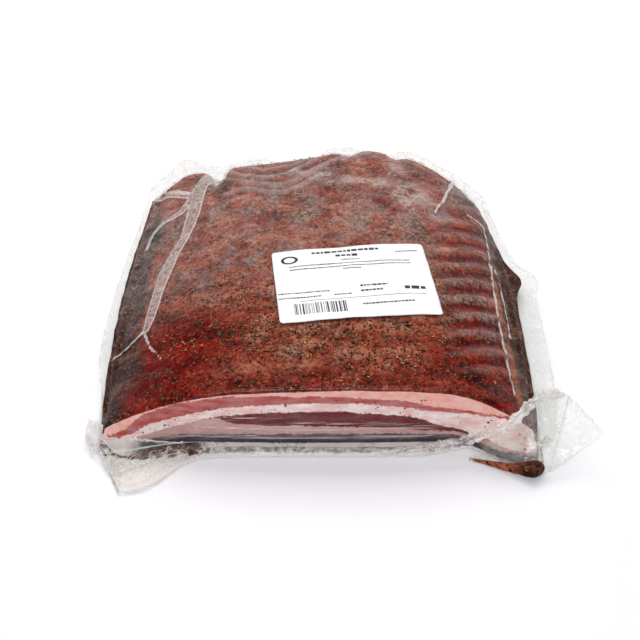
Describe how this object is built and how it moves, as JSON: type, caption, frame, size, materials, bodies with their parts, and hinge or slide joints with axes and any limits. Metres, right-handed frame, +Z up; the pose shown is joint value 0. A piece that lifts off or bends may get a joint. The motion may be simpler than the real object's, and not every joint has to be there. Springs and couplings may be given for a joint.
{
  "type": "bacon pack",
  "caption": "Half slab of crusted smoked pork belly, sealed tight in a clear vacuum pouch with a loose front corner, and a paper label stuck on top.",
  "frame": {"origin": "middle of the footprint, on the surface that the pack lies on", "axes": "+Z up, +Y from the cut front face towards the back of the pack, +X to the right seen from the front"},
  "size_m": [0.2618, 0.291, 0.0396],
  "materials": {
    "clear_film": "clear glossy film over dark crusted meat",
    "label_paper": "smooth white"
  },
  "bodies": {
    "root": {"vacuum_bag": "clear_film", "label": "label_paper"}
  },
  "joints": []
}
